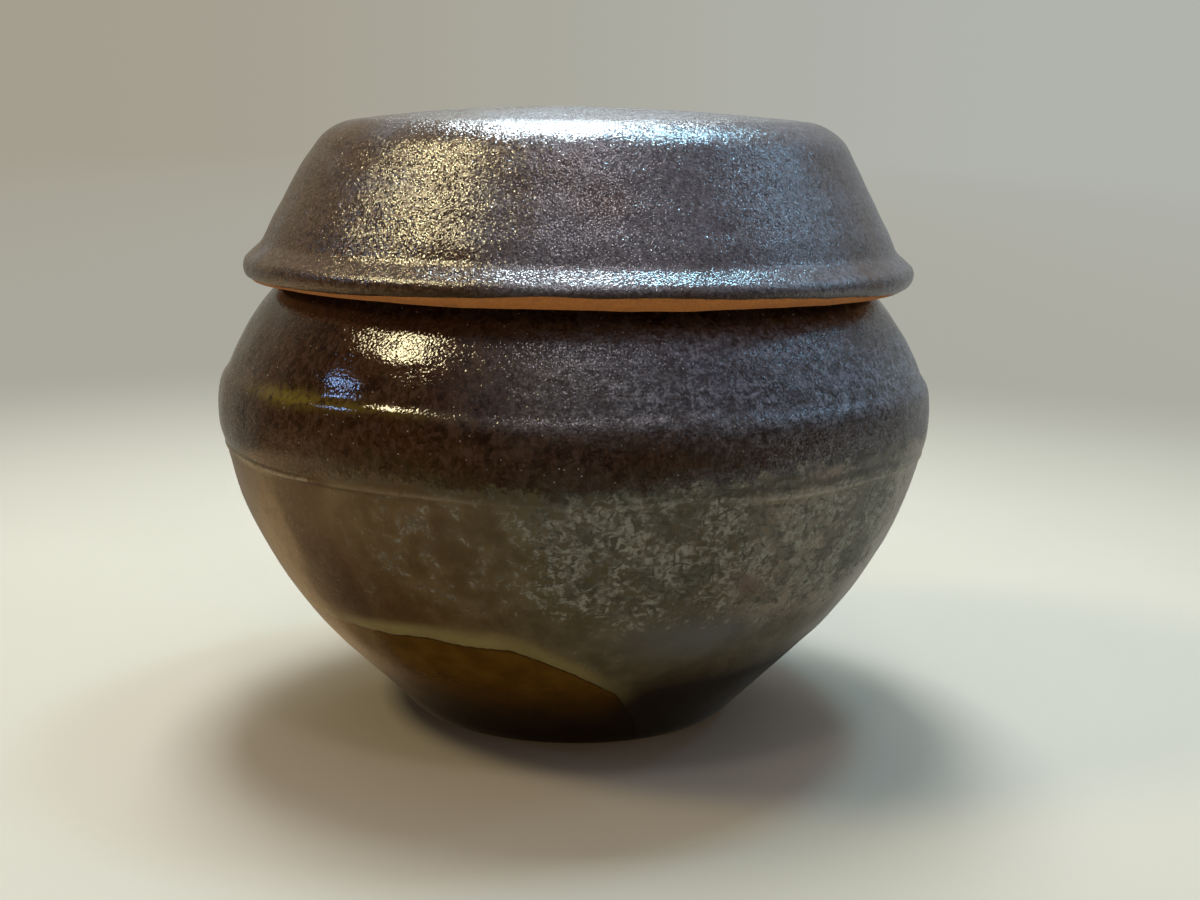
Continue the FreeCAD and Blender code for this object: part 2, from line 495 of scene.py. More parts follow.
# Height where the dark upper glaze ends, and how ragged its edge is there: (azimuth, height, raggedness)
UPPER_EDGE = xy(
    (-180, 50.8, 0.6), (-95, 50.2, 0.2), (-44, 50.3, 0.12), (-36, 51.8, 0.6), (-25, 53.2, 1.0),
    (-12, 52.4, 0.9), (0, 52.2, 0.9), (12, 52.6, 1.0), (25, 53.8, 1.0), (38, 55.0, 1.0), (62, 55.4, 0.9),
    (85, 54.0, 0.8), (125, 51.6, 0.9), (180, 50.8, 0.6))

# How far from that edge heights are told apart
EDGE_REACH = 6

# The jar's uneven skin: it starts outside this (radius, height), and fades out between these heights
SKIN_START = (29.6, 1.2)
SKIN_END = (84, 86)

# Hand-thrown unevenness of the jar. The throwing rings climb as they go round.
JAR_RING_SPACING = 4.4
JAR_RING_CLIMB = 2.2
JAR_RING_HEIGHT = 0.03
ROLL_HEIGHT = 0.34
LEFT_FULLNESS = 0.4
CREST_WIDTH = 0.55
CREST_WEAR = 0.25
JAR_SWAY = 0.22

# Places between points on a line drawn on the wall
TRACK_POINTS = 12

# Bare clay: it ends between these radii on the foot, and starts between these heights on the rim
BARE_FOOT = (28.2, 28.8)
BARE_RIM = (88.3, 89.2)


def to_track(points, track):
    """Distance from surface points to a line drawn on the lower wall, and the place along the line."""
    share = np.linspace(0, 1, TRACK_POINTS, endpoint=False)[:, None]
    fine = np.concatenate([a + (b - a) * share for a, b in zip(track[:-1], track[1:])] + [track[-1:]])
    wall = lower_wall()
    a, r = np.radians(fine[:, 0]), np.interp(fine[:, 1], wall[:, 1], wall[:, 0])
    spots = np.stack([r * np.sin(a), -r * np.cos(a), fine[:, 1]], -1)
    nearest = np.full(points.shape[:-1], np.inf)
    which = np.zeros(points.shape[:-1], int)
    for i, spot in enumerate(spots):
        gap = np.linalg.norm(points - spot, axis=-1)
        closer = gap < nearest
        nearest[closer] = gap[closer]
        which[closer] = i
    return nearest, fine[which]


def ridge_crest(form, body):
    """The ridge's crest, and how strongly it stands out round the jar: it is worn down less, and its painted
    highlight is brighter, where it stands out more.
    """
    az = form.azimuth
    crest = body * np.exp(-((form.height - RIDGE_NOSE[1]) / CREST_WIDTH) ** 2)
    plain = 0.25 + 0.2 * form.wavy(16, 7)
    strength = np.clip(
        0.8 * window(az, -82, -42, 2) + 0.3 * window(az, -35, -17, 4) + 0.06 * window(az, -14, 22, 6)
        + 0.85 * window(az, 30, 84, 6) + plain * (1 - window(az, -80, 78, 6)), 0, 1)
    return crest, strength * (0.75 + 0.25 * np.clip(1.5 * form.wavy(7, 9), -1, 1))


def jar_shift(form, body):
    """Unevenness: throwing rings, a soft raised ring on the crease and a fuller left side."""
    az, z, wavy = form.azimuth, form.height, form.wavy
    spiral = z + JAR_RING_CLIMB * az / 360 + 0.5 * wavy(60, 3)
    rings = JAR_RING_HEIGHT * np.cos(2 * math.pi * spiral / JAR_RING_SPACING)
    roll = z - 0.2 * wavy(50, 5)
    shift = 0.07 * wavy(24, 1) + 0.04 * wavy(9, 2) - 0.1
    shift += rings * (0.5 + 0.5 * wavy(30, 4)) * smooth(z, 20, 45)
    shift += (ROLL_HEIGHT + 0.06 * wavy(35, 6)) * smooth(roll, 56.5, 61.8) * (1 - smooth(roll, 62.2, 64.1))
    shift += LEFT_FULLNESS * window(apart(az, -90), -25, 25, 60) * window(z, 14, 38, 9)
    return shift * body * smooth(z, 1.5, 5)


def line_masks(form, outside):
    """Where the glazes' edges run: height above the upper one's, and half widths above the overlap's."""
    az, z = form.azimuth, form.height
    distance, spot = to_track(form.points, GLAZE_LINE)
    streak, _ = to_track(form.points, AMBER_STREAK)
    line_height = np.interp(az, GLAZE_LINE[:, 0], GLAZE_LINE[:, 1], left=-9, right=-9)
    edge, ragged = (np.interp(az, UPPER_EDGE[:, 0], UPPER_EDGE[:, i]) for i in (1, 2))
    return {
        "level": np.where(outside > 0, np.clip(z - edge, -EDGE_REACH, EDGE_REACH), EDGE_REACH),
        "ragged": ragged,
        "line_side": np.where(z > line_height, distance, -distance) / spot[..., 2],
        "band": 0.4 + 0.6 * window(az, -38, -2, 12),
        "amber": np.exp(-(streak / STREAK_WIDTH) ** 2) * window(z, 27, 50, 2),
    }


def crystal_masks(form, outside):
    """Where crystals grow: a film on the upper glaze, and a crust on the lower one."""
    az, z = form.azimuth, form.height
    right = window(az, 2, 52, 18) + 0.25 * window(az, 52, 90, 14)
    sparse = 0.3 * window(az, -30, 10, 16)
    back = 0.8 * window(apart(az, 150), -55, 35, 35)
    crystal = window(z, 34, 60, 11) * np.maximum(np.maximum(right, sparse), back)
    turned_side = window(az, 6, 75, 34) + 0.8 * window(apart(az, 165), -35, 40, 40)
    belly_dark = blob(az, z, (18, 57), (17, 2.6)) + 0.5 * blob(az, z, (38, 60), (14, 1.6))
    film = np.clip(turned_side, 0, 1) * (1 - smooth(z, 72, 79))
    film *= 1 - window(z, 48, 61.2, 0.9) * (0.15 + 0.4 * (1 - window(az, 24, 90, 16)))
    chill = smooth(az, -28, 24) * (1 - 0.5 * smooth(az, 85, 120))
    return {
        "crystal": crystal * outside,
        "film": outside * np.clip(film - 0.4 * belly_dark, 0, 1),
        "chill": chill * (0.35 + 0.65 * smooth(z, 58, 66)),
    }


def tone_masks(form, outside):
    """Where the glazes change their tone, in patches, streaks and marks, and where shade is painted low on
    the wall and by the ridge.
    """
    az, z, wavy = form.azimuth, form.height, form.wavy
    roll_olive = 0.9 * blob(az, z, (-47, 63.0), (9, 1.4)) + 0.5 * blob(az, z, (-30, 62.6), (12, 0.8))
    # Painted shade: darker towards the foot, and low on the right front.
    shade = 1 - smooth(z, 3, 17) + window(az, 22, 62, 14) * (1 - smooth(z, 11, 22))
    drip = az - 2 * wavy(18, 10)
    # A dark band painted as shade just above the ridge on the right.
    ridge_shade = window(az, 20, 74, 10) * window(z + 0.3 * wavy(9, 16), 51.3, 52.0, 0.7)
    return {
        "warm": 1 - smooth(np.abs(apart(az, -55)), 28, 62),
        "olive": roll_olive + 0.5 * blob(az, z, (120, 62), (20, 2)),
        "cool": blob(az, z, (24, 25.5), (15, 5)) + 0.6 * blob(az, z, (-160, 24), (20, 6)),
        "blush": blob(az, z, (28.9, 35.5), (3.2, 2.4)) + blob(az, z, (39.5, 52.7), (3.0, 1.4)),
        # Painted shade low on the wall
        "low_shade": outside * np.clip(shade, 0, 1),
        "drip": window(drip, -50, -40, 3.5) * window(z, 27, 50, 3) * outside,
        "dust": window(az, 40, 80, 24) * window(z, 31, 58, 9) * outside,
        "pale": window(drip, -88, -57, 11) * window(z, 24, 43, 9) * outside,
        "ridge_shade": ridge_shade * outside * np.clip(0.8 + 0.5 * wavy(12, 17), 0, 1),
        "quiet": window(az, -50, -28, 6) * window(z, 60.5, 69, 2.5) * outside,
        "pits": window(az, 52, 64, 3) * window(z, 34, 46, 3) * outside,
    }


def make_jar():
    form = Turned(jar_outline())
    z, radius = form.height, form.radius
    top = form.rows[:, 1].argmax()
    outside = (form.station < form.way[top]) * 1.0
    body = outside * (z > SKIN_START[1]) * (radius > SKIN_START[0]) * (1 - smooth(z, *SKIN_END))
    crest, strength = ridge_crest(form, body)
    shift = jar_shift(form, body) - CREST_WEAR * crest * (1 - strength)
    rise = JAR_SWAY * form.wavy(38, 8) * body * smooth(z, 8, 20) * (1 - smooth(z, 74, 82))
    mesh = form.mesh("jar_glazed", shift, rise)
    bare_foot = outside * (z < 3) * (1 - smooth(radius, *BARE_FOOT))
    bare_rim = smooth(z, *BARE_RIM) * smooth(radius, MOUTH_RADIUS, MOUTH_RADIUS + 0.5)
    form.paint(mesh, line_masks(form, outside))
    form.paint(mesh, crystal_masks(form, outside))
    form.paint(mesh, tone_masks(form, outside))
    form.paint(mesh, {
        # How strongly the ridge's crest is painted with a highlight
        "crest": crest ** 1.5 * strength,
        "bare": np.maximum(bare_foot, bare_rim),
        "inner": 1 - outside,
    })
    return mesh


# Colours of the jar; a pair is the two ends of a mottle or of a change round the jar

# Upper glaze
DEEP = (0.022, 0.009, 0.004), (0.060, 0.031, 0.015)
DEEP_WARM = (0.052, 0.020, 0.007)
DEEP_CURL, DARK_CURL = (0.092, 0.050, 0.034), (0.014, 0.006, 0.003)
DARK_RUN = (0.022, 0.010, 0.004)
NEAR_EDGE = (0.050, 0.036, 0.014)
ROLL_OLIVE = (0.16, 0.115, 0.014)
FILM_DARK = (0.046, 0.035, 0.026), (0.050, 0.053, 0.068)
FILM_LIGHT = (0.118, 0.090, 0.062), (0.270, 0.280, 0.345)
FILM_BLOTCH, FILM_SMEAR, FILM_RUN = (0.042, 0.028, 0.022), (0.036, 0.030, 0.032), (0.040, 0.024, 0.024)
STAR = (0.50, 0.46, 0.43)

# Lower glaze, its patches by the name of their mask, and the crust on it
OLIVE = (0.112, 0.090, 0.044), (0.178, 0.145, 0.080)
BROWN = (0.122, 0.063, 0.018), (0.182, 0.104, 0.037)
PATCHES = {"pale": (0.265, 0.170, 0.088), "dust": (0.40, 0.325, 0.240), "drip": (0.075, 0.034, 0.011)}
PATCH_SHADE = 0.7
SPECK = (0.20, 0.185, 0.15)
COOL, AMBER, BLUSH = (0.175, 0.178, 0.182), (0.100, 0.046, 0.012), (0.26, 0.15, 0.125)
# A dark olive painted as shadow just under the upper glaze's edge.
UNDER_EDGE_SHADE = (0.036, 0.034, 0.022)
CRUST = (0.140, 0.130, 0.096), (0.350, 0.338, 0.270)
CRUST_OLIVE, CRUST_HOLE = (0.085, 0.080, 0.056), (0.064, 0.062, 0.044)
CRUST_PLOT, CRUST_SMEAR = (0.078, 0.074, 0.052), (0.050, 0.042, 0.028)

# Overlap at the foot, marks, inside and clay
BARE_BROWN = (0.118, 0.052, 0.005), (0.165, 0.077, 0.008)
# The last of these is painted shade, darkening the lower wall towards the foot.
BAND_OLIVE, SEAM, LOW_SHADE = (0.335, 0.268, 0.105), (0.020, 0.009, 0.003), (0.016, 0.007, 0.002)
# The first is a dark band painted as shade just above the ridge.
RIDGE_SHADE, PIT = (0.062, 0.055, 0.042), (0.01, 0.007, 0.005)
# Pale colour painted along the ridge's crest as its highlight; the second end, for the warm-lit side, is
# golden.
CREST_HIGHLIGHT = (0.400, 0.360, 0.270), (0.42, 0.34, 0.225)
INSIDE_GLAZE = (0.045, 0.018, 0.008), (0.090, 0.040, 0.018)
CLAY = (0.33, 0.145, 0.055), (0.46, 0.22, 0.09)

# Roughness of the jar's surfaces
DEEP_GLOSS, FILM_GLOSS = 0.08, 0.20
# The fourth of these is for where shade is painted low on the wall.
WALL_SATIN, CRUST_SATIN, BARE_BROWN_SATIN, LOW_SHADE_MATT = 0.28, 0.46, 0.24, 0.7
INSIDE_GLOSS, CLAY_MATT = 0.2, 0.82
JAR_IOR = 1.55

# Relief of the jar's glaze, in millimetres; the peel is (size, height)
PEEL, FINE_PEEL = (0.50, 0.068), (0.28, 0.014)
RIPPLE_HEIGHT = 0.10
CRUST_HEIGHT = 0.03
PIT_DEPTH = 0.3
OVERLAP_HEIGHT = 0.12
CLAY_GRAIN_HEIGHT = 0.06
JAR_GRAIN = 0.27


class JarLook(Look):
    """The jar's glazes: glossy red-brown above with a film on it, and olive below with a crust."""

    def __init__(self):
        super().__init__("jar_glaze")
        self.broad = self.noise(14)
        self.mid = self.noise(4, 3, 0.55)
        self.fine = self.noise(1.1, 3, 0.6)
        self.grain = self.noise(0.45, 2, 0.6)
        self.curls = self.noise(1.3, 3, 0.6, 0.8)
        self.leaves = self.noise(2.6, 4, 0.65, 1.8)
        self.runs = self.noise(0.75, 2, 0.6, squeeze=(1, 1, 0.2))
        self.smears = self.noise(1.3, 3, 0.6, squeeze=(0.3, 0.3, 1.5))

    def lower_share(self):
        """Share of the lower wall's glaze, under a ragged edge of the upper one."""
        tatters = self.add(self.swing(self.noise(2.6, 4, 0.68), 7.0), self.swing(self.fine, 4.5))
        level = self.add(self.mask("level"), self.times(self.mask("ragged"), tatters))
        return self.smooth(level, -0.75, 0.75, 1.0, 0.0)

    def film_share(self):
        """Share of the film of fine crystals on the upper glaze."""
        film = self.mask("film")
        spread = self.add(self.swing(self.fine, 1.0), self.swing(self.mid, 1.5), self.swing(self.runs, 0.7))
        spread = self.times(spread, self.math("MULTIPLY_ADD", film, 0.85, 0.15))
        return self.smooth(self.add(film, spread), 0.05, 1.05)

    def crust_share(self):
        """Share of the crust of crystals on the lower glaze."""
        patchy = self.add(self.swing(self.curls, 2.3), self.swing(self.mid, 1.6))
        return self.smooth(self.add(self.mask("crystal"), patchy), 0.35, 1.15)

    def bare_share(self):
        """Share of bare clay, on the foot and the rim."""
        return self.smooth(self.add(self.mask("bare"), self.swing(self.fine, 0.5)), 0.42, 0.58)

    def deep_colour(self):
        """Red-brown of the shoulder and belly, with curls and fine vertical runs."""
        deep = self.tones(self.mid, 0.36, 0.66, *DEEP)
        deep = self.mix(self.times(self.mask("warm"), self.smooth(self.broad, 0.4, 0.62)), deep, DEEP_WARM)
        deep = self.flecks(deep, self.curls, 0.46, 0.62, 0.6, DEEP_CURL)
        deep = self.mix(self.smooth(self.curls, 0.36, 0.46, 0.6, 0.0), deep, DARK_CURL)
        deep = self.flecks(deep, self.runs, 0.46, 0.66, 0.5, DARK_RUN)
        near_edge = self.smooth(self.mask("level"), 0.0, 5.0, 0.6, 0.0)
        deep = self.mix(self.times(near_edge, self.smooth(self.mid, 0.3, 0.55)), deep, NEAR_EDGE)
        return self.mix(self.times(self.mask("olive"), self.smooth(self.fine, 0.32, 0.55)), deep, ROLL_OLIVE)

    def film_colour(self):
        """The film, brown to the left and blue-grey to the right."""
        chill = self.mask("chill")
        mottle = self.add(self.times(self.fine, 0.5), self.times(self.grain, 0.5))
        film = self.tones(mottle, 0.40, 0.62, self.mix(chill, *FILM_DARK), self.mix(chill, *FILM_LIGHT))
        film = self.flecks(film, self.mid, 0.46, 0.66, 0.6, FILM_BLOTCH)
        film = self.flecks(film, self.smears, 0.50, 0.66, 0.6, FILM_SMEAR)
        return self.flecks(film, self.runs, 0.52, 0.66, 0.5, FILM_RUN)

    def crust_colour(self):
        """Pale crystals, with dark leafy holes and plots."""
        crust = self.tones(self.curls, 0.38, 0.60, *CRUST)
        crust = self.flecks(crust, self.fine, 0.45, 0.70, 0.6, CRUST_OLIVE)
        crust = self.flecks(crust, self.leaves, 0.51, 0.59, 0.85, CRUST_HOLE)
        crust = self.flecks(crust, self.noise(6.5), 0.50, 0.60, 0.65, CRUST_PLOT)
        return self.flecks(crust, self.smears, 0.56, 0.68, 0.6, CRUST_SMEAR)

    def wall_colour(self, crust):
        """Olive to brown of the lower wall, with broken patches, specks, the crust, and painted shadow just
        under the upper glaze's edge.
        """
        olive = self.tones(self.mid, 0.3, 0.7, *OLIVE)
        brown = self.tones(self.mid, 0.3, 0.7, *BROWN)
        wall = self.mix(self.times(self.mask("warm"), 0.75), olive, brown)
        broken = self.add(self.swing(self.mid, 1.1), self.swing(self.broad, 0.9))
        for name, colour in PATCHES.items():
            patch = self.mask(name)
            share = self.smooth(self.add(patch, self.times(broken, self.smooth(patch, 0.0, 0.3))), 0.0, 1.1)
            share = self.times(share, self.smooth(self.fine, 0.3, 0.6, 0.65, 1.0))
            shaded = tuple(PATCH_SHADE * part for part in colour)
            wall = self.mix(share, wall, self.tones(self.leaves, 0.42, 0.62, colour, shaded))
        specks = self.times(self.dots(0.95, 0.10, 0.26, 0.75), self.smooth(self.curls, 0.50, 0.62))
        wall = self.mix(specks, wall, SPECK)
        wall = self.mix(self.times(self.mask("cool"), 0.8), wall, COOL)
        wall = self.mix(self.times(crust, 0.92), wall, self.crust_colour())
        wall = self.mix(self.times(self.mask("amber"), 0.6), wall, AMBER)
        wall = self.mix(self.times(self.mask("blush"), 0.5), wall, BLUSH)
        # Painted shadow in a ragged band just under the upper glaze's edge.
        under_edge_shade = self.times(self.smooth(self.mask("level"), -3.2, -0.5), self.smooth(self.mid, 0.35, 0.6))
        return self.mix(self.times(under_edge_shade, self.mask("ragged"), 0.7), wall, UNDER_EDGE_SHADE)

    def overlap_colour(self, wall, side, under):
        """The wall, with an olive band that has a crisp dark lower edge, bare brown below it, and shade
        painted over it towards the foot.
        """
        band = self.times(self.smooth(side, -0.95, -0.8), self.smooth(side, -0.2, 1.3, 1.0, 0.0))
        band = self.times(band, self.mask("band"), self.smooth(self.noise(5), 0.3, 0.6, 0.7, 1.0))
        seam = self.times(self.smooth(side, -1.2, -1.0), self.smooth(side, -0.98, -0.84, 1.0, 0.0))
        # Painted shade towards the foot, a little lighter on the olive band.
        low_shade = self.times(self.mask("low_shade"), self.smooth(band, 0.2, 0.9, 0.93, 0.90))
        wall = self.mix(under, wall, self.tones(self.mid, 0.3, 0.7, *BARE_BROWN))
        wall = self.mix(self.times(band, 0.95), wall, BAND_OLIVE)
        wall = self.mix(self.times(seam, 0.5), wall, SEAM)
        return self.mix(low_shade, wall, LOW_SHADE)

    def marked(self, outer, low):
        """The outside, with bright stars in the upper glaze, a dark band painted as shade above the ridge,
        and a highlight painted along the ridge's crest.
        """
        stars = self.times(self.dots(1.3, 0.06, 0.10, 0.9), self.smooth(self.mid, 0.43, 0.53))
        outer = self.mix(self.times(stars, self.math("SUBTRACT", 1.0, low)), outer, STAR)
        # A dark band painted as shade above the ridge
        ridge_shade = self.times(self.mask("ridge_shade"), self.smooth(self.fine, 0.3, 0.5, 0.3, 0.75))
        outer = self.mix(ridge_shade, outer, RIDGE_SHADE)
        # A pale highlight painted along the ridge's crest, golden on the warm-lit side.
        crest_highlight = self.times(self.mask("crest"), self.smooth(self.fine, 0.3, 0.5))
        return self.mix(crest_highlight, outer, self.mix(self.mask("warm"), *CREST_HIGHLIGHT))

    def roughness(self, low, film, crust, under, bare):
        gloss = self.blend(film, DEEP_GLOSS, FILM_GLOSS)
        satin = self.blend(crust, WALL_SATIN, CRUST_SATIN)
        satin = self.blend(under, satin, BARE_BROWN_SATIN)
        # Matter where shade is painted low on the wall, to keep its reflections dim.
        satin = self.blend(self.times(self.mask("low_shade"), 0.8), satin, LOW_SHADE_MATT)
        roughness = self.blend(self.mask("inner"), self.blend(low, gloss, satin), INSIDE_GLOSS)
        return self.blend(bare, roughness, CLAY_MATT)

    def relief(self, low, crust, pits, side, bare):
        """Heights of peel and ripple, calmer on the left and below, and of what lies on the glaze."""
        peel = self.add(self.caps(*PEEL), self.caps(*FINE_PEEL))
        ripple = self.times(self.noise(2.4), RIPPLE_HEIGHT)
        still = self.times(self.blend(self.mask("warm"), 1.0, 0.45), self.blend(self.mask("quiet"), 1.0, 0.5))
        return self.add(
            self.times(self.add(peel, ripple), self.blend(low, still, 0.25)),
            self.times(crust, low, CRUST_HEIGHT),
            self.times(pits, -PIT_DEPTH),
            self.times(self.smooth(side, -1.1, -0.75), low, OVERLAP_HEIGHT),
            self.times(self.grain, bare, CLAY_GRAIN_HEIGHT))

    def sparkle(self, low, film, crust):
        """How far the grains lean: most in the film, and not at all inside."""
        sparkle = self.blend(low, self.blend(film, 0.20, 0.55), self.blend(crust, 0.1, 0.35))
        sparkle = self.times(sparkle, self.blend(self.mask("quiet"), 1.0, 0.3))
        return self.blend(self.mask("inner"), sparkle, 0.0)

    def made(self):
        low, film, crust, bare = self.lower_share(), self.film_share(), self.crust_share(), self.bare_share()
        side = self.add(self.mask("line_side"), self.swing(self.noise(2.4), 0.4))
        under = self.smooth(side, -0.98, -0.86, 1.0, 0.0)
        pits = self.times(self.dots(4.2, 0.085, 0.125, 1.0), self.mask("pits"))

        upper = self.mix(film, self.deep_colour(), self.film_colour())
        lower = self.overlap_colour(self.wall_colour(crust), side, under)
        outer = self.marked(self.mix(low, upper, lower), low)
        outer = self.mix(pits, outer, PIT)
        inside = self.tones(self.mid, 0.3, 0.7, *INSIDE_GLAZE)
        glazed = self.mix(self.mask("inner"), outer, inside)
        colour = self.mix(bare, glazed, self.tones(self.grain, 0.3, 0.7, *CLAY))

        roughness = self.roughness(low, film, crust, under, bare)
        bump = self.bump(self.relief(low, crust, pits, side, bare))
        normal = self.facets(bump, JAR_GRAIN, self.sparkle(low, film, crust))
        return self.finish(self.shader(colour, roughness, normal, IOR=JAR_IOR))


# Lid: its outline, as (radius, height), and its other sizes
LID_WALL = 4.8
LEDGE_OUTER = (48.6, MOUTH_HEIGHT)
LEDGE_INNER = (42.0, MOUTH_HEIGHT)
SKIRT_INNER = (55.37, 78.885)
CROWN_TOP = 110.1
CROWN_RADIUS = 350.0
CROWN_EDGE = 10.0
CEILING_CORNER = 5.0
BEAD_HEIGHT = 6.5
BEAD_PROUD = 2.5
BEAD_NOSE_HEIGHT = 2.3
BEAD_TUCK = 3.3
BEAD_ROUNDING = 2.3
BEAD_HOLLOW_RADIUS = 4.5
SIDE_END = 1.5
SKIRT_ROUNDING = 1.0
LEDGE_ROUNDING = 0.8
CROWN_STEP = 0.8
BEAD_STEP = 0.3


def dome(top, radius, wall_foot, up_wall, edge_radius, step):
    """A shallow dome with its edge rounded into the wall below it, from the top outwards."""
    centre = np.array([0, top - radius])
    inward = np.array([-up_wall[1], up_wall[0]])
    to_wall = np.array(wall_foot) + inward * edge_radius - centre
    climb = to_wall @ up_wall
    rise = math.sqrt(climb ** 2 - to_wall @ to_wall + (radius - edge_radius) ** 2) - climb
    edge_centre = centre + to_wall + up_wall * rise
    to_dome = unit(edge_centre - centre)
    half_way = centre + unit(to_dome + np.array([0, 1])) * radius
    dome_end = edge_centre + to_dome * edge_radius
    edge_middle = edge_centre + unit(to_dome - inward) * edge_radius
    wall_start = edge_centre - inward * edge_radius
    return joined([
        arc((0, top), half_way, dome_end, step),
        arc(dome_end, edge_middle, wall_start, step / 2),
    ])


def lid_outline():
    """The lid's closed outline, from the middle of its ceiling to the top of its crown."""
    up_side = unit(np.array(LEDGE_OUTER) - np.array(SKIRT_INNER))
    side_at_seat = np.array(LEDGE_OUTER) + np.array([LID_WALL / up_side[1], 0])
    bottom = SKIRT_INNER[1]
    bead_top = bottom + BEAD_HEIGHT
    side_end = bead_top + SIDE_END
    nose_height = bottom + BEAD_NOSE_HEIGHT

    def side_radius(height):
        return side_at_seat[0] + (height - MOUTH_HEIGHT) * up_side[0] / up_side[1]

    nose = side_radius(nose_height) + BEAD_PROUD
    crown = dome(CROWN_TOP, CROWN_RADIUS, side_at_seat, up_side, CROWN_EDGE, CROWN_STEP)
    ceiling = dome(
        CROWN_TOP - LID_WALL, CROWN_RADIUS - LID_WALL, LEDGE_INNER, np.array([0.0, 1.0]), CEILING_CORNER,
        INSIDE_STEP)
    side = line(crown[-1], (side_radius(side_end), side_end), WALL_STEP)
    rim = rounded([
        (*side[-1], 0),
        (side_radius(bead_top), bead_top, BEAD_HOLLOW_RADIUS),
        (nose, nose_height, BEAD_ROUNDING),
        (nose - BEAD_TUCK, bottom, SKIRT_ROUNDING),
        (*SKIRT_INNER, SKIRT_ROUNDING),
        (*LEDGE_OUTER, LEDGE_ROUNDING),
        (*LEDGE_INNER, LEDGE_ROUNDING),
        (*ceiling[-1], 0),
    ], BEAD_STEP)
    return joined([crown, side, rim, ceiling[::-1]])[::-1]


# Lower edge of the lid's glaze: (azimuth, height)
LID_EDGE = xy(
    (-180, 80.2), (-120, 80.9), (-75, 79.6), (-57, 79.4), (-41, 79.6), (-33, 79.8), (-19, 80.5), (-3, 81.2),
    (8, 81.2), (26, 80.9), (37, 80.6), (52, 80.05), (65, 79.5), (85, 79.8), (130, 80.8), (180, 80.2))

# How far from that edge heights are told apart
LID_EDGE_REACH = 3

# Hand-thrown unevenness of the lid, whose side leans right and whose crown is higher there
LID_RING_SPACING = 5.2
LID_RING_CLIMB = 3
LID_RING_HEIGHT = 0.03
LID_FULLNESS = 0.35
LID_LEAN = 0.4
LID_TILT = 0.28
LEFT_DIP = 0.3
GLAZE_THICKNESS = 0.12


def make_lid():
    form = Turned(lid_outline())
    az, z, wavy = form.azimuth, form.height, form.wavy
    lowest = form.rows[:, 1].argmin()
    outside = (form.station > form.way[lowest]) * 1.0
    edge = np.interp(az, LID_EDGE[:, 0], LID_EDGE[:, 1]) + 0.08 * wavy(14, 11) + 0.03 * wavy(5, 12)
    rise = np.where(outside > 0, np.clip(z - edge, -LID_EDGE_REACH, LID_EDGE_REACH), -LID_EDGE_REACH)
    glazed = smooth(rise, -0.15, 0.15)

    spiral = z + LID_RING_CLIMB * az / 360 + 0.6 * wavy(60, 13)
    rings = LID_RING_HEIGHT * np.cos(2 * math.pi * spiral / LID_RING_SPACING)
    to_right = np.sin(np.radians(az))
    shift = 0.08 * wavy(26, 14) + 0.04 * wavy(8, 15) + rings - 0.06
    shift += LID_FULLNESS * window(z, 90, 100, 8) + LID_LEAN * to_right * form.normal[..., 0]
    shift -= LEFT_DIP * window(apart(az, -90), -30, 30, 40) * window(z, 103.5, 106, 7)
    shift += GLAZE_THICKNESS * (glazed - 1)
    shift *= outside * (1 - 0.6 * smooth(z, 107.5, 109))
    tilt = LID_TILT * to_right * smooth(form.radius, 15, 45) * smooth(z, 96, 105) * outside
    mesh = form.mesh("lid_glazed", shift, tilt)
    form.paint(mesh, {
        "rise": rise,
        # The left side, where warm light is painted into the glaze as a browner tone
        "warm": 1 - smooth(np.abs(apart(az, -60)), 20, 70),
        "wash": (1 - outside) * smooth(z, 98, 103),
        "bead": outside * window(z, 79.5, 85, 1.5),
    })
    return mesh


# Colours of the lid; a pair is the two ends of a mottle
LID_BROWN = (0.038, 0.017, 0.007), (0.096, 0.050, 0.025)
LID_GREY = (0.048, 0.039, 0.044), (0.136, 0.119, 0.134)
LID_BLOTCH, LID_GLAZE_EDGE = (0.060, 0.030, 0.022), (0.034, 0.020, 0.009)
LID_CLAY, LID_CLAY_BLOTCH = ((0.47, 0.140, 0.005), (0.62, 0.205, 0.010)), (0.30, 0.090, 0.008)
INSIDE_WASH = (0.10, 0.05, 0.025), (0.16, 0.09, 0.045)

# Finish of the lid: roughness, peel as (size, height) in millimetres, and the grains' size and lean
LID_GLOSS, LID_CLAY_MATT = (0.13, 0.25), 0.85
LID_PEEL = (0.34, 0.050)
LID_RIPPLE_HEIGHT = 0.06
CLAY_PEEL = 0.15
LID_GRAIN = 0.28
LID_GRAIN_LEAN, BEAD_GRAIN_LEAN = 0.52, 0.40
LID_IOR = 2.0


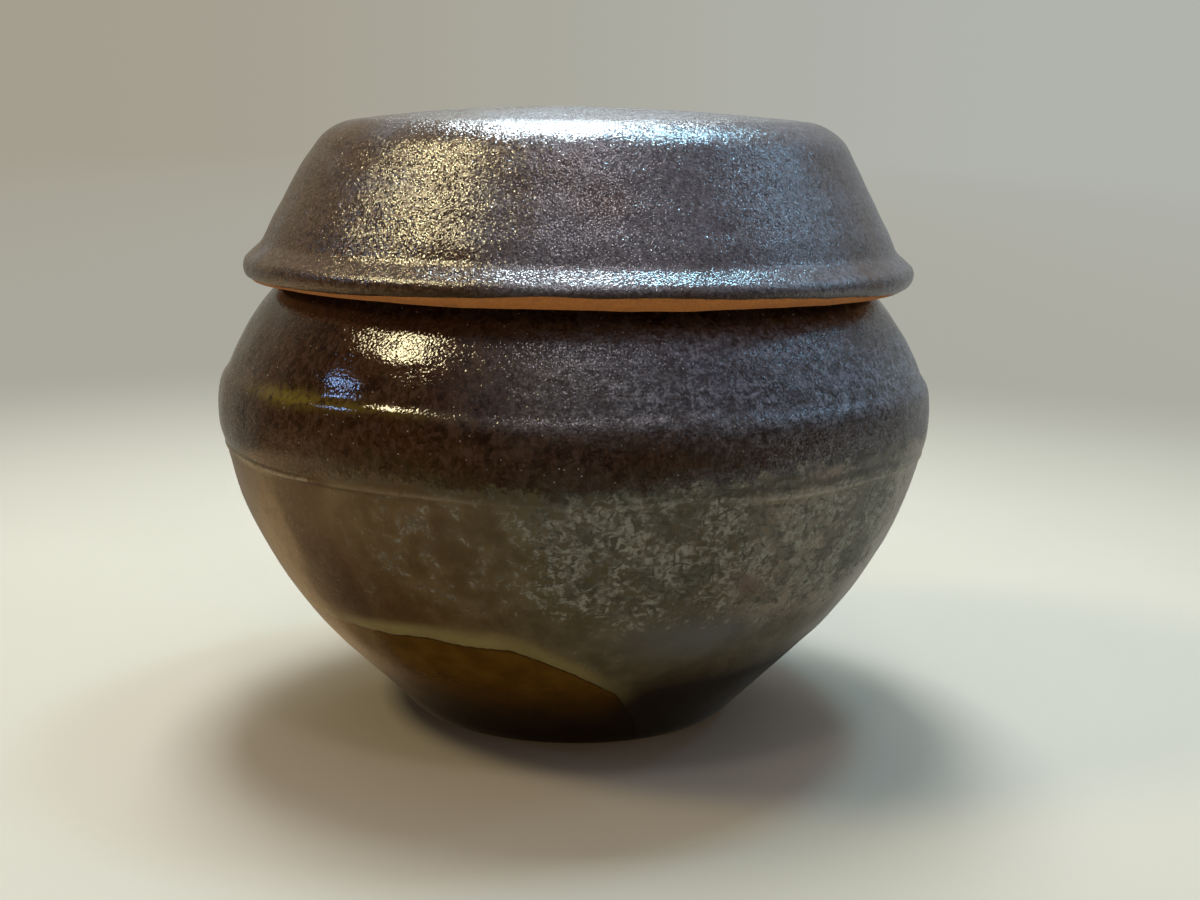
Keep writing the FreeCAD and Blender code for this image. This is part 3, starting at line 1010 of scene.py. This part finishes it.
def lid_look():
    """The lid's satin glaze, grey to the right and brown to the left, the brown on the left partly painted
    warm light, and the bare clay below it.
    """
    look = Look("lid_glaze")
    mask = look.mask
    broad = look.noise(18)
    mid = look.noise(3.2, 3, 0.6)
    fine = look.noise(0.8, 3, 0.65)
    grain = look.noise(0.38, 2, 0.6)

    brown = look.tones(fine, 0.36, 0.64, *LID_BROWN)
    grey = look.tones(fine, 0.36, 0.64, *LID_GREY)
    # Broad grey and brown mottles, pushed towards brown on the warm-lit left as painted warm light.
    glaze = look.tones(look.add(broad, look.times(mask("warm"), -0.3)), 0.2, 0.5, brown, grey)
    glaze = look.flecks(glaze, mid, 0.5, 0.75, 0.4, LID_BLOTCH)
    glaze = look.mix(look.smooth(mask("rise"), 0.0, 1.4, 0.7, 0.0), glaze, LID_GLAZE_EDGE)
    clay = look.tones(grain, 0.3, 0.7, *LID_CLAY)
    clay = look.flecks(clay, mid, 0.5, 0.75, 0.5, LID_CLAY_BLOTCH)
    wash = look.tones(mid, 0.3, 0.7, *INSIDE_WASH)
    clay = look.mix(look.times(mask("wash"), look.smooth(mid, 0.25, 0.5)), clay, wash)
    waver = look.add(look.swing(mid, 0.2), look.swing(fine, 0.25))
    glazed = look.smooth(look.add(mask("rise"), waver), -0.08, 0.08)
    colour = look.mix(glazed, clay, glaze)
    roughness = look.blend(glazed, LID_CLAY_MATT, look.smooth(grain, 0.3, 0.7, *LID_GLOSS))

    height = look.add(look.caps(*LID_PEEL), look.times(look.noise(1.8, 1), LID_RIPPLE_HEIGHT))
    height = look.times(height, look.blend(glazed, CLAY_PEEL, 1.0))
    height = look.add(height, look.times(glazed, GLAZE_THICKNESS))
    lean = look.times(glazed, look.blend(mask("bead"), LID_GRAIN_LEAN, BEAD_GRAIN_LEAN))
    normal = look.facets(look.bump(height), LID_GRAIN, lean)
    return look.finish(look.shader(colour, roughness, normal, IOR=LID_IOR))


stand("jar_glazed", make_jar(), JarLook().made(), "jar_body", "jar")
stand("lid_glazed", make_lid(), lid_look(), "lid_body", "lid")


# Plain pale floor and backdrop; the floor's faint glow is painted fill light and contact shadow
DOME_RADIUS = 6.0
BACKDROP = (0.375, 0.345, 0.275), (0.44, 0.455, 0.42)
BACKDROP_EDGES = (-1800, 1800)
FLOOR_TONES = (0.385, 0.330, 0.255), (0.415, 0.360, 0.285)
FLOOR_ROUGHNESS = 0.75
FLOOR_GRAIN_HEIGHT = 0.02
# The floor's glow: painted fill light, dimmed at the foot as a painted contact shadow, and full from the
# radius below on.
FOOT_SHADOW_GLOW, FLOOR_FILL_GLOW = (0.014, 0.008, 0.002), (0.07, 0.067, 0.06)
FILL_GLOW_FROM = 110
FLOOR_NEAR, FLOOR_FAR = 130, 480


def backdrop_colour(look):
    across = look.node("ShaderNodeSeparateXYZ", {0: look.place}).outputs["X"]
    return look.tones(across, *BACKDROP_EDGES, *BACKDROP)


def make_floor():
    """A pale floor that glows faintly as painted fill light, darker at the foot as a painted contact shadow,
    and turns into the backdrop's own tone further out.
    """
    mesh = bpy.data.meshes.new("floor")
    size = DOME_RADIUS
    corners = [(-size, -size, 0), (size, -size, 0), (size, size, 0), (-size, size, 0)]
    mesh.from_pydata(corners, [], [(0, 1, 2, 3)])
    floor = placed("floor", mesh)
    look = Look("floor")
    colour = look.mix(look.noise(60, 3), *FLOOR_TONES)
    grain = look.bump(look.times(look.noise(1.4), FLOOR_GRAIN_HEIGHT))
    reach = look.length(look.place)
    # Painted fill light, fading to a painted contact shadow at the foot
    glow = look.glow(look.tones(reach, FOOT_RING[1], FILL_GLOW_FROM, FOOT_SHADOW_GLOW, FLOOR_FILL_GLOW))
    near = look.shader(colour, FLOOR_ROUGHNESS, grain)
    near = look.node("ShaderNodeAddShader", {0: near, 1: glow}).outputs[0]
    far = look.glow(backdrop_colour(look))
    share = look.smooth(reach, FLOOR_NEAR, FLOOR_FAR)
    both = look.node("ShaderNodeMixShader", {0: share, 1: near, 2: far}).outputs[0]
    mesh.materials.append(look.finish(both))
    floor.visible_glossy = False


def make_backdrop():
    """A plain dome round the scene, there to be seen and not to light the jar."""
    mesh = bpy.data.meshes.new("backdrop")
    dome_mesh = bmesh.new()
    bmesh.ops.create_uvsphere(dome_mesh, u_segments=48, v_segments=24, radius=DOME_RADIUS)
    dome_mesh.to_mesh(mesh)
    dome_mesh.free()
    backdrop = placed("backdrop", mesh)
    look = Look("backdrop")
    mesh.materials.append(look.finish(look.glow(backdrop_colour(look))))
    for rays in ("diffuse", "glossy", "transmission", "volume_scatter", "shadow"):
        setattr(backdrop, f"visible_{rays}", False)


# Soft light from all round, by direction; a pair goes from left to right, or from low to high
OVERHEAD = (0.026, 0.018, 0.012), (0.30, 0.29, 0.34)
EYE_LEVEL = (0.016, 0.013, 0.012)
BEHIND = (0.29, 0.26, 0.20), (0.36, 0.37, 0.35)
BELOW_LEFT = (0.72, 0.50, 0.27), (0.16, 0.10, 0.045)
BELOW_RIGHT = (0.34, 0.36, 0.33), (0.68, 0.70, 0.68)
STRAIGHT_DOWN = (0.012, 0.007, 0.003)
BELOW_FRONT = (0.060, 0.040, 0.020)


def make_surroundings():
    """Pale behind, dim in front, warm from the lower left and cool from the right."""
    world = bpy.data.worlds.new("studio")
    scene.world = world
    world.use_nodes = True
    look = Nodes(world.node_tree)
    way = look.node("ShaderNodeTexCoord").outputs["Generated"]
    x, y, z = look.node("ShaderNodeSeparateXYZ", {0: way}).outputs
    overhead = look.tones(x, -0.8, -0.1, *OVERHEAD)
    above = look.tones(z, 0.2, 0.65, EYE_LEVEL, overhead)
    above = look.tones(y, 0.1, 0.85, above, look.tones(x, -0.6, 0.4, *BEHIND))
    left = look.tones(z, -0.5, -0.1, *BELOW_LEFT)
    right = look.tones(z, -0.5, -0.2, *BELOW_RIGHT)
    below = look.tones(x, -0.5, 0.5, left, right)
    below = look.tones(z, -0.8, -0.35, STRAIGHT_DOWN, below)
    below = look.tones(y, -0.5, 0.2, BELOW_FRONT, below)
    height = look.add(z, look.smooth(y, 0.0, 0.6, 0.0, 0.35))
    background = look.tree.nodes["Background"]
    look.put(background.inputs["Color"], look.tones(height, -0.04, 0.04, below, above))


# Lights stand at this distance from a point on the jar's axis, in metres
LIGHT_DISTANCE = 0.95
LIGHT_AIM = Vector((0, 0, 0.07))


def soft_light(name, azimuth, elevation, size, radiance, colour):
    """A soft rectangle of light, at an azimuth from straight behind the jar (+Y) and an elevation."""
    a, e = math.radians(azimuth), math.radians(elevation)
    way = Vector((math.sin(a) * math.cos(e), math.cos(a) * math.cos(e), math.sin(e)))
    data = bpy.data.lights.new(name, "AREA")
    data.shape = "RECTANGLE"
    data.size, data.size_y = size
    data.energy = radiance * math.pi * size[0] * size[1]
    data.color = colour
    light = placed(name, data)
    light.location = LIGHT_AIM + way * LIGHT_DISTANCE
    light.rotation_euler = way.to_track_quat("Z", "Y").to_euler()
    light.visible_camera = False


make_floor()
make_backdrop()
make_surroundings()
soft_light("key_warm", -102, 48, (0.23, 0.15), 32, (1.0, 0.86, 0.50))
soft_light("low_blue", -94, 25, (0.09, 0.05), 18, (0.32, 0.54, 1.0))
soft_light("top_white", -9, 68, (0.27, 0.46), 31, (0.80, 0.93, 1.0))
soft_light("top_blue", 48, 66, (0.15, 0.16), 50, (0.40, 0.76, 1.0))
soft_light("back_white", -1, 38, (0.25, 0.40), 4, (0.78, 0.92, 1.0))
soft_light("front_top", 178, 64, (0.14, 0.12), 15, (1.0, 0.93, 1.0))
soft_light("right_cool", 79, 39, (0.12, 0.10), 15, (0.34, 0.68, 1.0))
soft_light("right_low", 88, 21, (0.13, 0.05), 9, (0.50, 0.82, 1.0))

# Camera, at the photograph's place: metres, degrees, and millimetres of lens and sensor
CAMERA_PLACE = (0, -0.3224, 0.10624)
PITCH_DOWN, YAW, ROLL = 10.411, 0.852, 1.032
LENS, SENSOR_WIDTH = 52.5, 36
NEAREST_SEEN = 0.01


def make_camera():
    pitch, yaw, roll = map(math.radians, (PITCH_DOWN, YAW, ROLL))
    forward = Vector((math.sin(yaw) * math.cos(pitch), math.cos(yaw) * math.cos(pitch), -math.sin(pitch)))
    right = Vector((math.cos(yaw), -math.sin(yaw), 0))
    up = right.cross(forward)
    across = right * math.cos(roll) + up * math.sin(roll)
    above = up * math.cos(roll) - right * math.sin(roll)
    data = bpy.data.cameras.new("camera")
    data.lens = LENS
    data.sensor_width = SENSOR_WIDTH
    data.clip_start = NEAREST_SEEN
    camera = placed("camera", data)
    turn = Matrix((across, above, -forward)).transposed()
    camera.matrix_world = Matrix.Translation(CAMERA_PLACE) @ turn.to_4x4()
    scene.camera = camera


make_camera()
